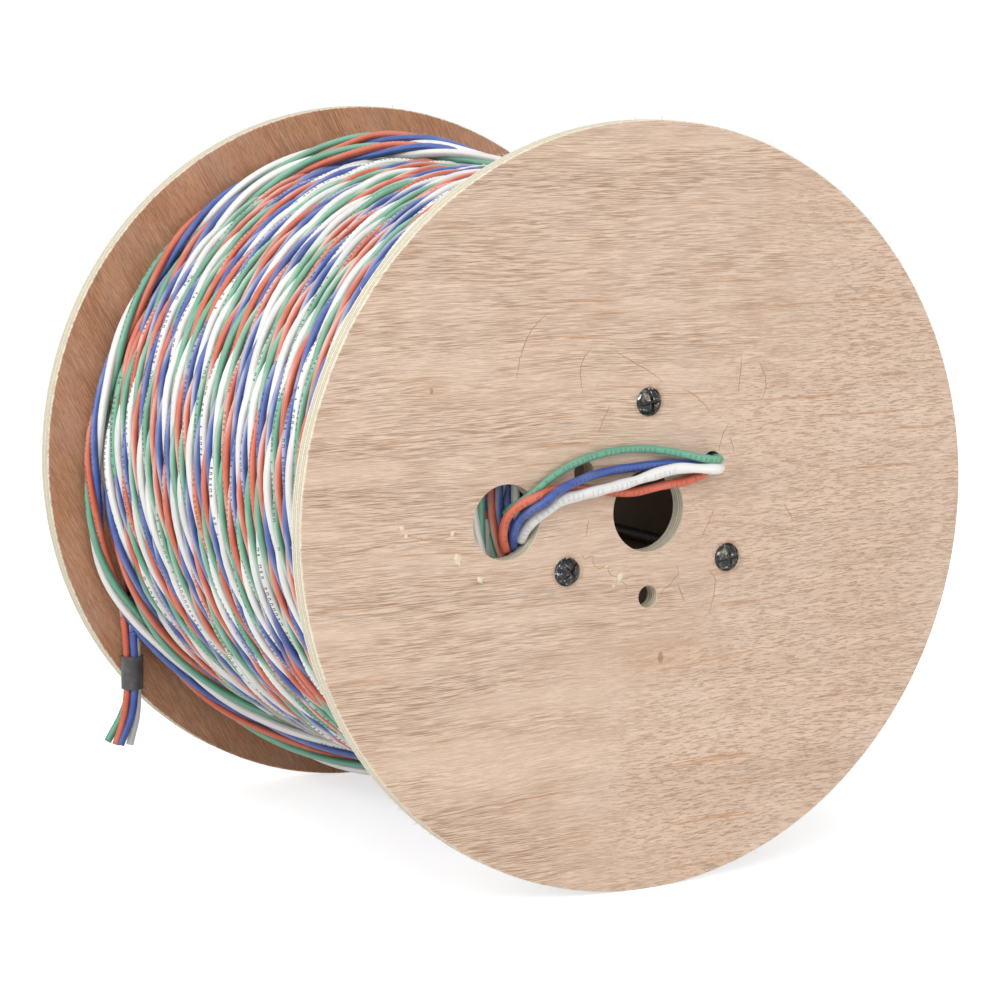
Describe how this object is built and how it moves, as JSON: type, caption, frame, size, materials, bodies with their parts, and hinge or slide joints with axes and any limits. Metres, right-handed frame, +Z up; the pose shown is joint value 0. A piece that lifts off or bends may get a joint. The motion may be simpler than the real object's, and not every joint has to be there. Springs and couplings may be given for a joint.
{
  "type": "wooden cable drum",
  "caption": "Round plywood cable drum on a fibre barrel, full of twisted multi-colour insulated cable, with its inner and outer ends showing.",
  "frame": {"origin": "on the drum's axis, at the middle of the arbor bore, midway between the flanges", "axes": "+Y along the drum's axis from the front flange to the back flange, +Z up, +X to the right seen from the front"},
  "size_m": [0.3556, 0.3067, 0.3556],
  "materials": {
    "plywood_front": "bare pale plywood with fine dark grain, scratched",
    "plywood_back": "bare reddish-brown plywood",
    "fibre_tube": "spiral-wound fibre board",
    "cable_insulation": "red, green, blue and white insulation side by side",
    "insulation_red": "satin",
    "insulation_green": "satin",
    "insulation_blue": "satin",
    "insulation_white": "satin",
    "screw_steel": "dark zinc plate",
    "nut_steel": "bright zinc plate",
    "dark_tape": "satin vinyl tape"
  },
  "bodies": {
    "root": {"flange_front": "plywood_front", "flange_back": "plywood_back", "barrel": "fibre_tube", "cable_winding": "cable_insulation", "outer_turn": "cable_insulation", "screw_top": "screw_steel", "screw_left": "screw_steel", "screw_right": "screw_steel", "tee_nut_top": "nut_steel", "tee_nut_left": "nut_steel", "tee_nut_right": "nut_steel", "lead_red": "insulation_red", "lead_green": "insulation_green", "lead_blue": "insulation_blue", "lead_white": "insulation_white", "tail_red": "insulation_red", "tail_green": "insulation_green", "tail_blue": "insulation_blue", "tail_white": "insulation_white", "tape_band": "dark_tape"}
  },
  "joints": []
}
